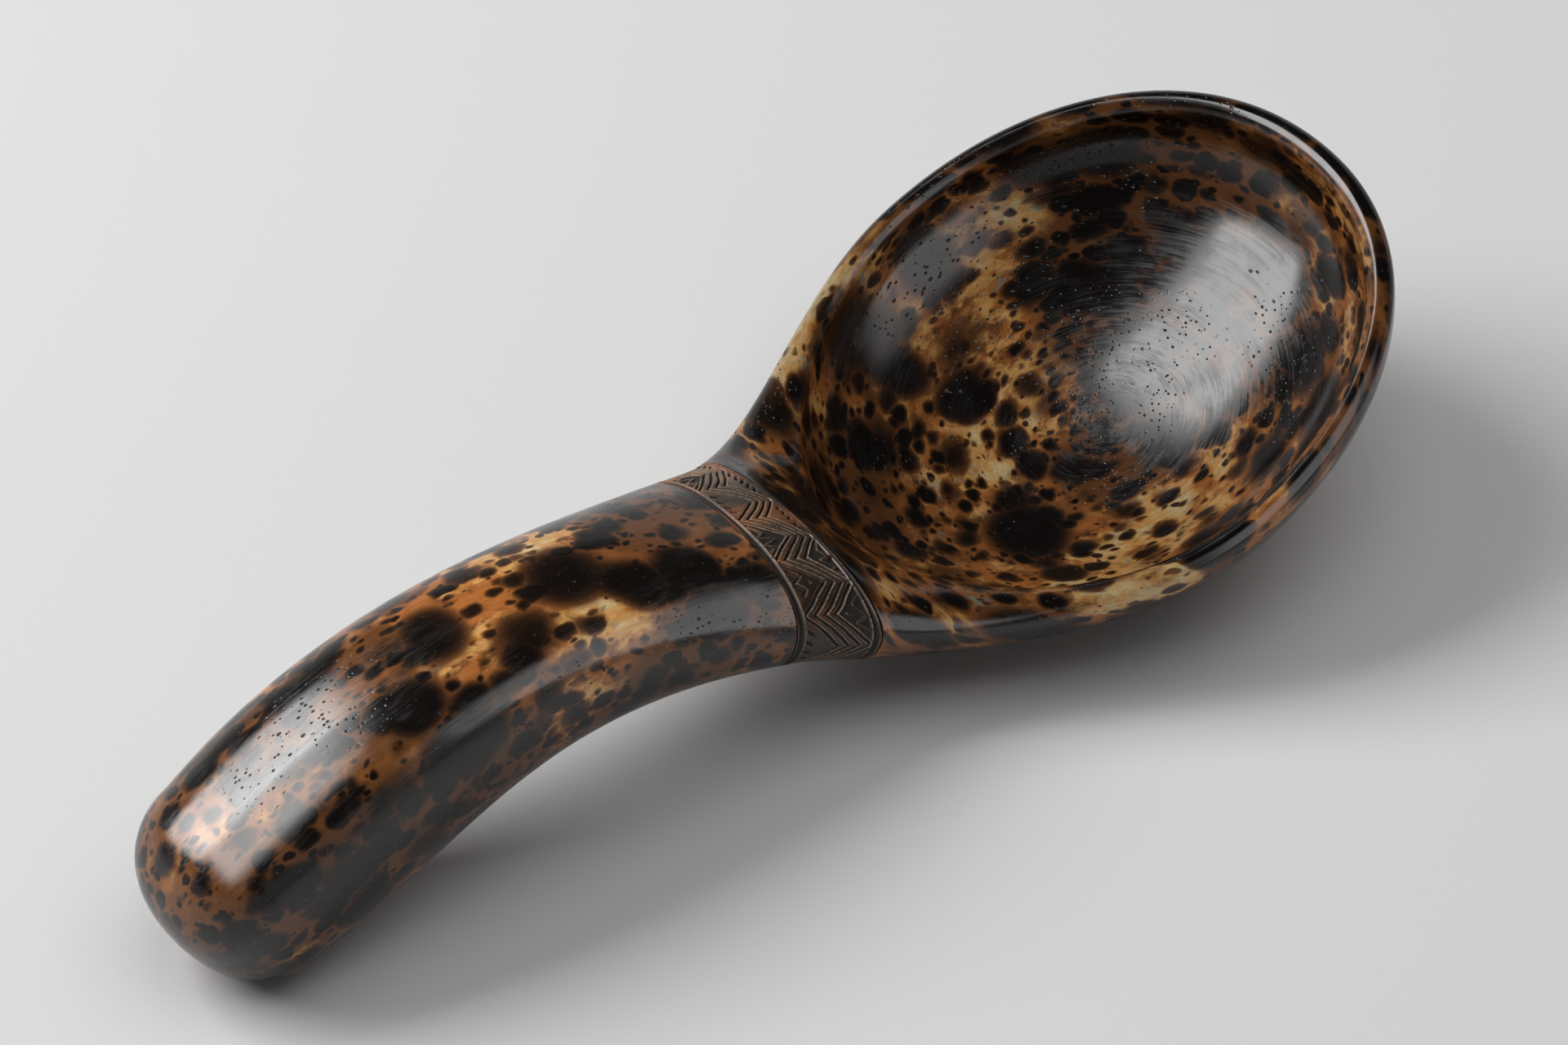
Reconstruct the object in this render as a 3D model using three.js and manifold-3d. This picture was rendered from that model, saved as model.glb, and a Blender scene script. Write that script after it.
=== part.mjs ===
// Horn serving spoon: a deep egg-shaped bowl and a solid, curved grip, spliced at the neck under a carved
// collar. Millimetres, +Z up. +X runs from the grip to the bowl's front, and the XZ plane is the plane of
// symmetry. The spoon lies on a table at z = 0, on two small worn flats under the bowl and under the butt.
import * as THREE from 'three';
import { mergeVertices } from 'three/addons/utils/BufferGeometryUtils.js';
import Module from 'manifold-3d';

const wasm = await Module();
wasm.setup();

// Fits and wear
const clearance = 0.3; // gap between pieces that touch
const tableWear = 0.45; // height worn off the bowl's keel and off the butt where they rest

// The bowl. Its rim line is a curve in the XZ plane, and depths are measured square to that curve
const neckAngle = 20; // degrees that the rim line falls from the collar towards the bowl
const neckDrop = 7; // height of the neck's centre below the rim line at the bowl's widest place
const rimRise = 21.5; // degrees that the front half of the rim climbs
const bowlReach = 74; // from the collar's middle to the bowl's widest place
const bowlFront = 57.5; // from the widest place to the tip
const bowlHalfWidth = 53.5;
const bowlDepth = 26.5; // outside, below the rim line
const bottomWall = 4.5;
const lipThickness = 4.8;
const lipHeight = 2.2; // of the rounded lip above the rim line
const hollowStart = 20.5; // from the collar's middle to the back end of the hollow
const shoulderFade = 17.5; // length over which the round neck thins out into the lip
const keelFlare = 0.2; // slope at which the underside leaves the neck

// The neck, half sizes of its oval at the collar's middle
const neckHalfWidth = 24.5;
const neckHalfHeight = 10.7;

// The grip: its centre line and its half sizes are cubic curves from the neck to the butt
const gripLength = 107.7; // level distance from the collar's middle to where the domed butt begins
const gripNeckArm = 55; // how long the centre line keeps the neck's direction
const gripButtArm = 34; // how long it keeps the butt's direction
const buttAngle = 24.6; // degrees that the butt points down
const gripHalfWidths = [neckHalfWidth, 13.3, 21.5, 18.2];
const gripHalfHeights = [neckHalfHeight, 13.9, 21.7, 17.7];
const domeLength = 17;

// The collar and the splice beneath it
const collarLength = 17.5;
const collarWall = 2.4;
const borderEdge = 0.3; // flat left outside each border's groove
const borderGroove = 1.2; // width of the groove along each border
const borderInner = 0.35; // flat left between that groove and the zigzag's points
const borderDepth = 0.4;
const zigzagCount = 10; // points towards the bowl, once round the collar
const zigzagPitch = 2.3; // from one of its three lines to the next, along the collar
const zigzagWidth = 1; // of each line, along the collar
const zigzagDepth = 0.45;
const tongueWidth = 22;
const tongueThickness = 8;
const tongueLength = 26; // behind the collar's middle
const tongueRoot = 14; // before the collar's middle, inside the neck
const pinRadius = 1.75;
const pinOffset = 4.2; // each side of the collar's middle

// Curve powers: 2 is an ellipse, and more is squarer
const neckPower = 2.2;
const gripPower = 2.5;
const domePower = 2.2;
const keelPower = 1.95;
const lipPower = 2;
const frontPower = 2.1;
const frontDepthPower = 2.15;
const hollowBackPower = 1.75;
const hollowPower = 2;
const shoulderPower = 2;

// Facets
const ringSides = 40;
const coreSteps = 4;
const zigzagSteps = 4; // facets on each straight of the zigzag
const gripSteps = 22;
const domeSteps = 7;
const rimSteps = 28;
const neckFaceSteps = 14;
const hullRows = 12;
const lipRows = 9;
const hollowRows = 10;
const rimCrowding = 2.2; // how closely the rim's points crowd together towards the tip
const pinSides = 24;
const tongueEndSteps = 12;
const probeStep = 0.01; // length over which the rim line's direction is measured
const keelStep = 0.5; // spacing of the points at which the keel's lowest place is sought
const mergeDistance = 1e-4;

const radians = THREE.MathUtils.degToRad;
const tipX = bowlReach + bowlFront;
const neckSlope = Math.tan(radians(neckAngle));
const rimSlope = Math.tan(radians(rimRise));
// The bowl's sides leave the neck at the slope at which the grip's sides reach it
const flareSlope = (gripHalfWidths[0] - gripHalfWidths[1]) / gripNeckArm;
const faceX = (collarLength / 2) * Math.cos(radians(neckAngle)); // the neck's end face

// A cubic from y0 to y1 over a length, with the slope given at each end
function ease(distance, length, y0, slope0, y1, slope1) {
  const t = THREE.MathUtils.clamp(distance / length, 0, 1);
  const cubic = 3 * t * t - 2 * t * t * t;
  return y0 + (y1 - y0) * cubic + slope0 * length * t * (1 - t) ** 2 - slope1 * length * t * t * (1 - t);
}

// The other half size of an oval at a given share of the first one
const oval = (share, power) => Math.max(1 - Math.abs(share) ** power, 0) ** (1 / power);
const signedPower = (value, power) => Math.sign(value) * Math.abs(value) ** power;

// The rim line and the bowl's half sizes along it, all by their distance x from the collar's middle
function rimHeight(x) {
  if (x > bowlReach) return rimSlope * (x - bowlReach);
  return ease(x, bowlReach, -neckDrop, -neckSlope, 0, rimSlope);
}

function rimFrame(x) {
  const rise = rimHeight(x + probeStep) - rimHeight(x - probeStep);
  const tangent = new THREE.Vector2(2 * probeStep, rise).normalize();
  return { x, z: rimHeight(x), normal: new THREE.Vector2(-tangent.y, tangent.x) };
}

function bowlWidthAt(x) {
  if (x > bowlReach) return bowlHalfWidth * oval((x - bowlReach) / bowlFront, frontPower);
  return ease(x, bowlReach, neckHalfWidth, flareSlope, bowlHalfWidth, 0);
}

function bowlDepthAt(x) {
  if (x > bowlReach) return bowlDepth * oval((x - bowlReach) / bowlFront, frontDepthPower);
  return ease(x, bowlReach, neckHalfHeight, keelFlare, bowlDepth, 0);
}

const neckShare = (x) => Math.exp(-((x / shoulderFade) ** 2)); // 1 at the neck, 0 out in the bowl
const blend = (share, atNeck, beyond) => beyond + (atNeck - beyond) * share;
const crownAt = (x) => neckHalfHeight * neckShare(x);
const keelPowerAt = (x) => blend(neckShare(x), neckPower, keelPower);

// Height of the upper skin. Across goes from 0 at the outline to 1 at the hollow's edge: the neck's crown
// rounds over into the hollow, and further out a round bead takes its place
function topAt(x, y, across) {
  const width = bowlWidthAt(x);
  const crown = width > 0 ? crownAt(x) * oval(y / width, neckPower) * oval(across, shoulderPower) : 0;
  const bead = lipHeight * (1 - neckShare(x)) * oval(2 * across - 1, lipPower);
  return crown + bead;
}

function undersideAt(x, y) {
  const width = bowlWidthAt(x);
  return width > 0 ? -bowlDepthAt(x) * oval(y / width, keelPowerAt(x)) : 0;
}

// The place of a point given by its distance along the spoon, its side offset and its height above the rim
function onRimLine(x, y, height) {
  const frame = rimFrame(x);
  return [frame.x + height * frame.normal.x, y, frame.z + height * frame.normal.y];
}

// The table touches the lowest point of the keel and the lowest point of the domed butt
function keelLow() {
  let low = 0;
  for (let x = 0; x < tipX; x += keelStep) low = Math.min(low, onRimLine(x, 0, undersideAt(x, 0))[2]);
  return low;
}
const tableZ = keelLow() + tableWear;

// How far the domed butt reaches below its centre
function buttDrop() {
  const power = domePower / (domePower - 1);
  const along = domeLength * Math.sin(radians(buttAngle));
  const square = gripHalfHeights[3] * Math.cos(radians(buttAngle));
  return (along ** power + square ** power) ** (1 / power);
}

// The grip's centre line, from the neck to the butt, and its half sizes along it
const neckCentre = new THREE.Vector2(0, -neckDrop);
const buttCentre = new THREE.Vector2(-gripLength, keelLow() + buttDrop());
const direction = (degrees) => new THREE.Vector2(Math.cos(radians(degrees)), Math.sin(radians(degrees)));
const gripLine = new THREE.CubicBezierCurve(
  neckCentre,
  neckCentre.clone().addScaledVector(direction(180 - neckAngle), gripNeckArm),
  buttCentre.clone().addScaledVector(direction(buttAngle), gripButtArm),
  buttCentre,
);
const sizePoints = gripHalfWidths.map((width, i) => new THREE.Vector2(width, gripHalfHeights[i]));
const gripSizes = new THREE.CubicBezierCurve(...sizePoints);

// An oval across the grip, at a distance behind the collar's middle
function gripSection(distance) {
  const t = gripLine.getUtoTmapping(Math.min(distance / gripLine.getLength(), 1));
  const centre = gripLine.getPoint(t);
  const tangent = gripLine.getTangent(t);
  const size = gripSizes.getPoint(t);
  const power = blend((1 - t) ** 2, neckPower, gripPower);
  const normal = new THREE.Vector2(tangent.y, -tangent.x);
  const sizes = { width: size.x, up: size.y, down: size.y };
  return { x: centre.x, z: centre.y, normal, ...sizes, powers: [power, power] };
}

// An oval across the neck, by its distance before (+) or behind (-) the collar's middle. Under the collar
// each size runs from the grip's to the bowl's and keeps both slopes
function neckSection(distance, inset = 0) {
  const half = collarLength / 2;
  const behind = gripSection(half);
  const further = gripSection(half + 1);
  const sizesAt = (x) => ({ width: bowlWidthAt(x), up: crownAt(x), down: bowlDepthAt(x) });
  const [before, onward] = [sizesAt(faceX), sizesAt(faceX + 1)];
  const size = (key) => {
    const slopes = [behind[key] - further[key], onward[key] - before[key]];
    return ease(distance + half, collarLength, behind[key], slopes[0], before[key], slopes[1]) - inset;
  };
  const place = distance < 0 ? gripSection(-distance) : rimFrame(distance * Math.cos(radians(neckAngle)));
  const behindShare = (half - distance) / collarLength;
  const facePowers = [neckPower, keelPowerAt(faceX)];
  const powers = facePowers.map((power, i) => blend(behindShare, behind.powers[i], power));
  return { ...place, width: size('width'), up: size('up'), down: size('down'), powers };
}

// Places along the collar, from its front edge to its back edge
function collarStations() {
  const half = collarLength / 2 - clearance;
  return Array.from({ length: coreSteps + 1 }, (_, i) => half - (2 * half * i) / coreSteps);
}

// A point of an oval, at a share of the way round in equal angles
function ringPoint(section, share) {
  const angle = 2 * Math.PI * share;
  const above = Math.sin(angle) > 0;
  const power = 2 / section.powers[above ? 0 : 1];
  const side = section.width * signedPower(Math.cos(angle), power);
  const height = (above ? section.up : section.down) * signedPower(Math.sin(angle), power);
  return [section.x + height * section.normal.x, side, section.z + height * section.normal.y];
}

function ringPoints(section) {
  return Array.from({ length: ringSides }, (_, i) => ringPoint(section, i / ringSides));
}

// A mesh from rings of points, each ring joined to the next. A ring of one point closes an end
function skin(rings) {
  const positions = [];
  const starts = rings.map((ring) => {
    positions.push(...ring.flat());
    return positions.length / 3 - ring.length;
  });
  const indices = [];
  const face = (a, b, c) => indices.push(a, b, c);
  for (let r = 0; r + 1 < rings.length; r++) {
    const [here, next] = [rings[r].length, rings[r + 1].length];
    const sides = Math.max(here, next);
    for (let i = 0; i < sides; i++) {
      const j = (i + 1) % sides;
      const [a, b] = [starts[r] + (i % here), starts[r] + (j % here)];
      const [c, d] = [starts[r + 1] + (i % next), starts[r + 1] + (j % next)];
      if (here > 1) face(a, b, d);
      if (next > 1) face(a, d, c);
    }
  }
  const geometry = new THREE.BufferGeometry();
  geometry.setAttribute('position', new THREE.Float32BufferAttribute(positions, 3));
  geometry.setIndex(indices);
  return geometry;
}

// Solid modelling helpers
function solid(source) {
  const bare = source.clone();
  bare.deleteAttribute('normal');
  bare.deleteAttribute('uv');
  const geometry = mergeVertices(bare, mergeDistance);
  const corners = Array.from(geometry.index.array);
  const kept = [];
  for (let i = 0; i < corners.length; i += 3) {
    const [a, b, c] = corners.slice(i, i + 3);
    if (a !== b && b !== c && c !== a) kept.push(a, b, c);
  }
  const vertProperties = new Float32Array(geometry.attributes.position.array);
  return new wasm.Manifold(new wasm.Mesh({ numProp: 3, vertProperties, triVerts: new Uint32Array(kept) }));
}

function surface(body) {
  const mesh = body.getMesh();
  const geometry = new THREE.BufferGeometry();
  geometry.setAttribute('position', new THREE.BufferAttribute(new Float32Array(mesh.vertProperties), 3));
  geometry.setIndex(new THREE.BufferAttribute(new Uint32Array(mesh.triVerts), 1));
  geometry.computeVertexNormals();
  return geometry;
}

// What lies below the worn flats
function belowTable() {
  const slab = new THREE.BoxGeometry(2 * (gripLength + tipX), 2 * bowlHalfWidth, 2 * bowlDepth);
  return solid(slab.translate(0, 0, tableZ - bowlDepth));
}

// Turns a shape drawn about the neck's centre, along the neck, into its place on the spoon
function atNeck(geometry) {
  return geometry.rotateY(radians(neckAngle)).translate(neckCentre.x, 0, neckCentre.y);
}

// The flat tongue of the bowl, rounded at its end, or with extra the slot that it lies in
function tongue(extra) {
  const half = tongueWidth / 2 + extra;
  const shape = new THREE.Shape();
  shape.moveTo(tongueRoot, -half);
  shape.lineTo(tongueRoot, half);
  shape.lineTo(half - tongueLength - extra, half);
  shape.absarc(half - tongueLength - extra, 0, half, Math.PI / 2, (3 * Math.PI) / 2);
  const thickness = tongueThickness + 2 * extra;
  const options = { depth: thickness, bevelEnabled: false, curveSegments: tongueEndSteps };
  const plate = new THREE.ExtrudeGeometry(shape, options);
  return solid(atNeck(plate.translate(0, 0, -thickness / 2)));
}

// A splice pin across the tongue, or with extra the hole for it. It ends just inside the collar
function pinGeometry(offset, extra) {
  const core = neckSection(offset, collarWall + clearance);
  const [top, bottom] = [core.up - clearance, core.down - clearance];
  const radius = pinRadius + extra;
  const rod = new THREE.CylinderGeometry(radius, radius, top + bottom + 4 * extra, pinSides);
  rod.rotateX(Math.PI / 2).translate(offset, 0, (top - bottom) / 2);
  return atNeck(rod);
}
const pinPlaces = { splice_pin_front: pinOffset, splice_pin_rear: -pinOffset };
const pinHole = (offset) => solid(pinGeometry(offset, clearance));
function drilled(body) {
  return Object.values(pinPlaces).reduce((rest, offset) => rest.subtract(pinHole(offset)), body);
}

// The bowl's plan outline, anticlockwise from above: one side, the other side, then across the neck's end
function planOutline() {
  const side = Array.from({ length: rimSteps + 1 }, (_, i) => {
    const x = faceX + (tipX - faceX) * (1 - (1 - i / rimSteps) ** rimCrowding);
    return [x, -bowlWidthAt(x)];
  });
  const back = side.slice(0, -1).reverse().map(([x, y]) => [x, -y]);
  const face = Array.from({ length: neckFaceSteps - 1 }, (_, i) => [
    faceX,
    bowlWidthAt(faceX) * Math.cos((Math.PI * (i + 1)) / neckFaceSteps),
  ]);
  return [...side, ...back, ...face];
}

// How far the hollow's edge lies from the bowl's middle, towards a point of the outline
function hollowRadius(dx, dy) {
  const length = Math.hypot(dx, dy);
  const reach = dx > 0 ? bowlFront - lipThickness : bowlReach - hollowStart;
  const power = dx > 0 ? frontPower : hollowBackPower;
  const alongShare = Math.abs(dx / length / reach) ** power;
  const acrossShare = Math.abs(dy / length / (bowlHalfWidth - lipThickness)) ** power;
  return (alongShare + acrossShare) ** (-1 / power);
}

// The bowl, as rings from the keel out to the rim, over the rounded lip and down the hollow
function bowlShell() {
  const outline = planOutline();
  const ringAt = (share, height) =>
    outline.map(([x, y]) => {
      const dx = x - bowlReach;
      const radius = share(Math.hypot(dx, y), hollowRadius(dx, y)) / Math.hypot(dx, y);
      const [px, py] = [bowlReach + dx * radius, y * radius];
      return onRimLine(px, py, height(px, py));
    });
  const rings = [[onRimLine(bowlReach, 0, -bowlDepth)]];
  for (let r = 1; r <= hullRows; r++) {
    const out = Math.sin((Math.PI / 2) * (r / hullRows));
    rings.push(ringAt((outer) => outer * out, undersideAt));
  }
  for (let r = 0; r <= lipRows; r++) {
    const across = (1 - Math.cos((Math.PI * r) / lipRows)) / 2;
    rings.push(ringAt((outer, inner) => outer + (inner - outer) * across, (x, y) => topAt(x, y, across)));
  }
  const hollowDepth = bowlDepth - bottomWall;
  for (let r = 1; r < hollowRows; r++) {
    const angle = (Math.PI / 2) * (r / hollowRows);
    const inward = Math.cos(angle) ** (2 / hollowPower);
    const down = Math.sin(angle) ** (2 / hollowPower);
    rings.push(ringAt((outer, inner) => inner * inward, () => -hollowDepth * down));
  }
  rings.push([onRimLine(bowlReach, 0, -hollowDepth)]);
  return skin(rings);
}

function bowl() {
  const blank = solid(bowlShell()).add(tongue(0));
  return surface(drilled(blank).subtract(belowTable()));
}

// The grip: the core that the collar sits on, the shoulder, the arched grip and its domed end
function grip() {
  const half = collarLength / 2;
  const coreInset = collarWall + clearance;
  const rings = collarStations().map((place) => ringPoints(neckSection(place, coreInset)));
  rings.push(ringPoints(neckSection(-half, coreInset)));
  const lineLength = gripLine.getLength();
  for (let i = 0; i <= gripSteps; i++) {
    rings.push(ringPoints(gripSection(half + ((lineLength - half) * i) / gripSteps)));
  }
  const end = gripSection(lineLength);
  const outward = direction(180 + buttAngle);
  for (let i = 1; i < domeSteps; i++) {
    const angle = (Math.PI / 2) * (i / domeSteps);
    const reach = domeLength * Math.sin(angle) ** (2 / domePower);
    const share = Math.cos(angle) ** (2 / domePower);
    const centre = { x: end.x + outward.x * reach, z: end.z + outward.y * reach };
    const size = { width: end.width * share, up: end.up * share, down: end.down * share };
    rings.push(ringPoints({ ...end, ...centre, ...size }));
  }
  const core = neckSection(half - clearance);
  rings.unshift([[core.x, 0, core.z]]);
  rings.push([[end.x + outward.x * domeLength, 0, end.z + outward.y * domeLength]]);
  const blank = solid(skin(rings.reverse())).subtract(tongue(clearance));
  return surface(drilled(blank).subtract(belowTable()));
}

// Shares of the way round the neck at which the collar's middle is divided into equal lengths
class NeckRing extends THREE.Curve {
  getPoint(share) {
    return new THREE.Vector3(...ringPoint(neckSection(0), share));
  }
}
function collarShares() {
  const columns = 2 * zigzagCount * zigzagSteps;
  const ring = new NeckRing();
  return Array.from({ length: columns }, (_, i) => ring.getUtoTmapping(i / columns));
}

// The collar: a horn ring, level with the grip and the bowl. A groove runs along each border, and three
// lines zigzag between them, so that two ribs stand. Every cut is a V, drawn as its edge, middle and edge
function collar() {
  const half = collarLength / 2 - clearance;
  const field = half - borderEdge - borderGroove - borderInner;
  const swing = field - zigzagPitch - zigzagWidth / 2; // of the zigzag's middle line, each way
  const wave = (column) => 2 * Math.abs(((column / zigzagSteps) % 2) - 1) - 1; // 1 to -1 and back
  const cut = (middle, width, depth, waving) => [
    { place: middle - width / 2, depth: 0, waving },
    { place: middle, depth, waving },
    { place: middle + width / 2, depth: 0, waving },
  ];
  const rows = [
    { place: -half, depth: 0, waving: 0 },
    ...cut(-half + borderEdge + borderGroove / 2, borderGroove, borderDepth, 0),
    ...[-1, 0, 1].flatMap((line) => cut(line * zigzagPitch, zigzagWidth, zigzagDepth, swing)),
    ...cut(half - borderEdge - borderGroove / 2, borderGroove, borderDepth, 0),
    { place: half, depth: 0, waving: 0 },
  ];
  const shares = collarShares();
  const ringAt = (section) => shares.map((share, column) => ringPoint(section(column), share));
  const outer = rows.map(({ place, depth, waving }) =>
    ringAt((column) => neckSection(place + waving * wave(column), depth)),
  );
  const bore = collarStations().map((place) => ringAt(() => neckSection(place, collarWall)));
  return surface(solid(skin([...outer, ...bore, outer[0]])));
}

// Materials, as the eye sees them from a step away
const mottledHorn = new THREE.MeshStandardMaterial({ color: '#4d3a28', roughness: 0.12, metalness: 0 });
const carvedHorn = new THREE.MeshStandardMaterial({ color: '#453122', roughness: 0.5, metalness: 0 });
const pinHorn = new THREE.MeshStandardMaterial({ color: '#2e241b', roughness: 0.4, metalness: 0 });

function piece(name, geometry, material) {
  const mesh = new THREE.Mesh(geometry, material);
  mesh.name = name;
  return mesh;
}

const spoon = new THREE.Group();
spoon.add(piece('bowl', bowl(), mottledHorn));
spoon.add(piece('handle', grip(), mottledHorn));
spoon.add(piece('neck_collar', collar(), carvedHorn));
for (const [name, offset] of Object.entries(pinPlaces)) {
  spoon.add(piece(name, surface(solid(pinGeometry(offset, 0))), pinHorn));
}

// The origin: on the table, under the middle of the spoon's length
const extent = new THREE.Box3().setFromObject(spoon);
spoon.position.set(-(extent.min.x + extent.max.x) / 2, 0, -extent.min.z);

export default spoon;
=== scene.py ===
# Horn serving spoon, lying on a pale studio floor
# Sizes in the dictionaries are millimetres. Along the spoon, x runs from the collar's middle to the bowl

import math

import bmesh
import bpy
import numpy as np
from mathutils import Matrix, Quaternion, Vector


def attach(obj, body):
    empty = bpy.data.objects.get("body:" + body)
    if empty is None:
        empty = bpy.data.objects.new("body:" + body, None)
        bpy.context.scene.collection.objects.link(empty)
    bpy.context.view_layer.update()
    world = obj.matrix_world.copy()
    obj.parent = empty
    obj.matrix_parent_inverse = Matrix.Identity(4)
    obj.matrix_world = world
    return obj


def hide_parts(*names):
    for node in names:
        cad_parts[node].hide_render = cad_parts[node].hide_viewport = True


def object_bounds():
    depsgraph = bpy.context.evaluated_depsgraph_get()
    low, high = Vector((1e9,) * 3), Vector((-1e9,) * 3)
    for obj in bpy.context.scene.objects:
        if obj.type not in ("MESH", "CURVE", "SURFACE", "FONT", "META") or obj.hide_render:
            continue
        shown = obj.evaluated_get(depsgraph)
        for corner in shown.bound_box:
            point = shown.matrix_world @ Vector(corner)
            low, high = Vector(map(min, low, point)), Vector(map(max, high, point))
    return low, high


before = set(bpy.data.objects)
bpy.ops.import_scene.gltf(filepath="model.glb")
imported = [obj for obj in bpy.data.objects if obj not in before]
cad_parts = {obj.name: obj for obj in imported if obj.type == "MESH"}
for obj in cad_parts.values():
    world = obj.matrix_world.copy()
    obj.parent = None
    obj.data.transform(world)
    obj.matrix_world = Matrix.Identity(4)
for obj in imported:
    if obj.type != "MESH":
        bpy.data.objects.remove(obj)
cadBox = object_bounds()
print("frame loaded")


# Curves and places shared by the pieces

rim = {
    "neckAngle": 20,  # degrees that the rim line falls towards the bowl
    "neckDrop": 7,  # neck's centre below the rim line
    "rise": 21.5,  # degrees that the front half climbs
    "reach": 74,  # to the widest place
    "front": 57.5,  # widest place to the tip
    "halfWidth": 53.5,
    "depth": 26.5,
    "wall": 4.5,
    "lip": 4.8,
    "lipHeight": 2.2,
    "hollowStart": 20.5,
    "shoulderFade": 17.5,
    "keelFlare": 0.2,
    "neckHalfWidth": 24.5,
    "neckHalfHeight": 10.7,
    "tableWear": 0.45,
    "neckPower": 2.2,  # 2 is an ellipse, and more is squarer
    "keelPower": 1.95,
    "frontPower": 2.1,
    "frontDepthPower": 2.15,
    "hollowBackPower": 1.75,
    "lipPower": 1.7,
}

grip = {
    "length": 107.7,
    "neckArm": 55,
    "buttArm": 34,
    "buttAngle": 24.6,
    "halfWidths": (24.5, 13.3, 21.5, 18.2),
    "halfHeights": (10.7, 13.9, 21.7, 17.7),
    "power": 2.5,
    "dome": 17,
    "domePower": 2.2,
}

splice = {
    "collar": 17.5,
    "wall": 2.4,
    "clearance": 0.3,
    "tongueWidth": 22,
    "tongueThickness": 8,
    "tongueLength": 26,
    "tongueRoot": 14,
    "pinRadius": 1.75,
    "pinOffset": 4.2,
}

neckTilt = math.radians(rim["neckAngle"])
neckSlope = math.tan(neckTilt)
riseSlope = math.tan(math.radians(rim["rise"]))
tipX = rim["reach"] + rim["front"]
halfCollar = splice["collar"] / 2
faceX = halfCollar * math.cos(neckTilt)  # the neck's end face, under the collar's edge
flareSlope = (grip["halfWidths"][0] - grip["halfWidths"][1]) / grip["neckArm"]


def ease(distance, length, y0, slope0, y1, slope1):
    # A cubic from y0 to y1 over the length, with the slope given at each end
    t = np.clip(distance / length, 0, 1)
    cubic = 3 * t**2 - 2 * t**3
    return y0 + (y1 - y0) * cubic + slope0 * length * t * (1 - t) ** 2 - slope1 * length * t**2 * (1 - t)


def oval(share, power):
    # The other half size of an oval, at a share of the first: (1 - |share|^p)^(1/p)
    return np.maximum(1 - np.abs(share) ** power, 0) ** (1 / power)


def signedPower(value, power):
    return np.sign(value) * np.abs(value) ** power


def smoothStep(value, low, high):
    t = np.clip((value - low) / (high - low), 0, 1)
    return t * t * (3 - 2 * t)


def rimHeight(x):
    back = ease(x, rim["reach"], -rim["neckDrop"], -neckSlope, 0, riseSlope)
    return np.where(x > rim["reach"], riseSlope * (x - rim["reach"]), back)


def rimNormal(x):
    # Square to the rim line in the XZ plane, from its slope over a short step
    step = 0.01
    slope = (rimHeight(x + step) - rimHeight(x - step)) / (2 * step)
    length = np.sqrt(1 + slope**2)
    return -slope / length, 1 / length


def onRimLine(x, y, height):
    nx, nz = rimNormal(x)
    return np.stack([x + height * nx, y + 0 * x, rimHeight(x) + height * nz], -1)


def bowlWidthAt(x):
    back = ease(x, rim["reach"], rim["neckHalfWidth"], flareSlope, rim["halfWidth"], 0)
    front = rim["halfWidth"] * oval((x - rim["reach"]) / rim["front"], rim["frontPower"])
    return np.where(x > rim["reach"], front, back)


def bowlDepthAt(x):
    back = ease(x, rim["reach"], rim["neckHalfHeight"], rim["keelFlare"], rim["depth"], 0)
    front = rim["depth"] * oval((x - rim["reach"]) / rim["front"], rim["frontDepthPower"])
    return np.where(x > rim["reach"], front, back)


def neckShare(x):
    return np.exp(-((x / rim["shoulderFade"]) ** 2))


def keelPowerAt(x):
    return rim["keelPower"] + (rim["neckPower"] - rim["keelPower"]) * neckShare(x)


def undersideAt(x, y):
    width = np.maximum(bowlWidthAt(x), 1e-6)
    return -bowlDepthAt(x) * oval(np.minimum(np.abs(y) / width, 1), keelPowerAt(x))


def topAt(x, y, across):
    # The neck's crown rounds over into the hollow, and further out a round bead takes its place
    width = np.maximum(bowlWidthAt(x), 1e-6)
    crown = rim["neckHalfHeight"] * neckShare(x) * oval(np.minimum(np.abs(y) / width, 1), rim["neckPower"])
    bead = rim["lipHeight"] * (1 - neckShare(x)) * oval(2 * across - 1, rim["lipPower"])
    return crown * oval(across, 2) + bead


keelLine = np.arange(0, tipX, 0.5)
keelLow = onRimLine(keelLine, 0, undersideAt(keelLine, 0))[:, 2].min()
tableZ = keelLow + rim["tableWear"]


def bezier(points, t):
    t = np.asarray(t)[..., None]
    p = np.asarray(points, float)
    return (1 - t) ** 3 * p[0] + 3 * (1 - t) ** 2 * t * p[1] + 3 * (1 - t) * t**2 * p[2] + t**3 * p[3]


def direction(degrees):
    return np.array([math.cos(math.radians(degrees)), math.sin(math.radians(degrees))])


def buttDrop():
    # How far the domed butt reaches below its centre
    power = grip["domePower"] / (grip["domePower"] - 1)
    along = grip["dome"] * math.sin(math.radians(grip["buttAngle"]))
    square = grip["halfHeights"][3] * math.cos(math.radians(grip["buttAngle"]))
    return (along**power + square**power) ** (1 / power)


neckCentre = np.array([0, -rim["neckDrop"]])
buttCentre = np.array([-grip["length"], keelLow + buttDrop()])
gripLine = [
    neckCentre,
    neckCentre + direction(180 - rim["neckAngle"]) * grip["neckArm"],
    buttCentre + direction(grip["buttAngle"]) * grip["buttArm"],
    buttCentre,
]
lineShares = np.linspace(0, 1, 2001)
linePlaces = bezier(gripLine, lineShares)
lineLengths = np.append(0, np.cumsum(np.linalg.norm(np.diff(linePlaces, axis=0), axis=1)))
gripReach = lineLengths[-1]


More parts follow.
